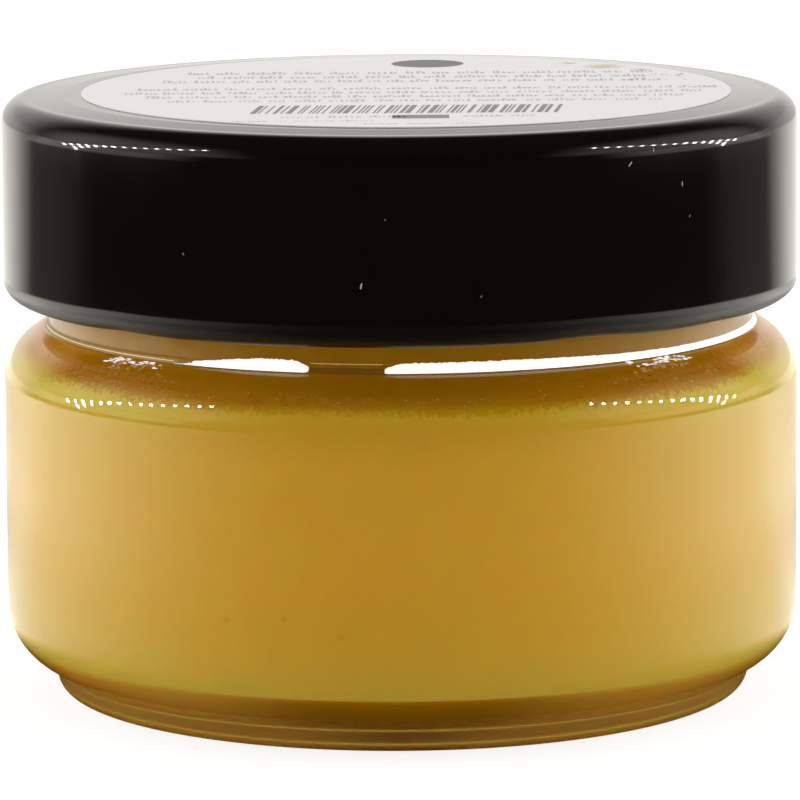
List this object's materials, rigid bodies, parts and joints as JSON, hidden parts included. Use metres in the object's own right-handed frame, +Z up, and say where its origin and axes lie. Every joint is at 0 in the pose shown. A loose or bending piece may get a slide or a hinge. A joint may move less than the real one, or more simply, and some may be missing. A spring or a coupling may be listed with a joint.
{
  "type": "jar of honey",
  "caption": "Squat round clear glass jar filled with pale creamed honey, with a deep black metal twist-off lid and a round white paper label on its top.",
  "frame": {"origin": "middle of the jar's foot, on the plane it stands on", "axes": "+Z up along the jar's axis; -Y is the side shown in the picture, +X to its right"},
  "size_m": [0.07, 0.07, 0.0529],
  "materials": {
    "clear_glass": "clear, glossy, moulded",
    "honey": "opaque creamed honey, satin",
    "black_lacquer": "black gloss lacquer on tinplate",
    "paper": "satin coated paper with plain grey print"
  },
  "bodies": {
    "root": {"jar": "clear_glass", "honey": "honey", "lid": "black_lacquer", "label": "paper"}
  },
  "joints": []
}
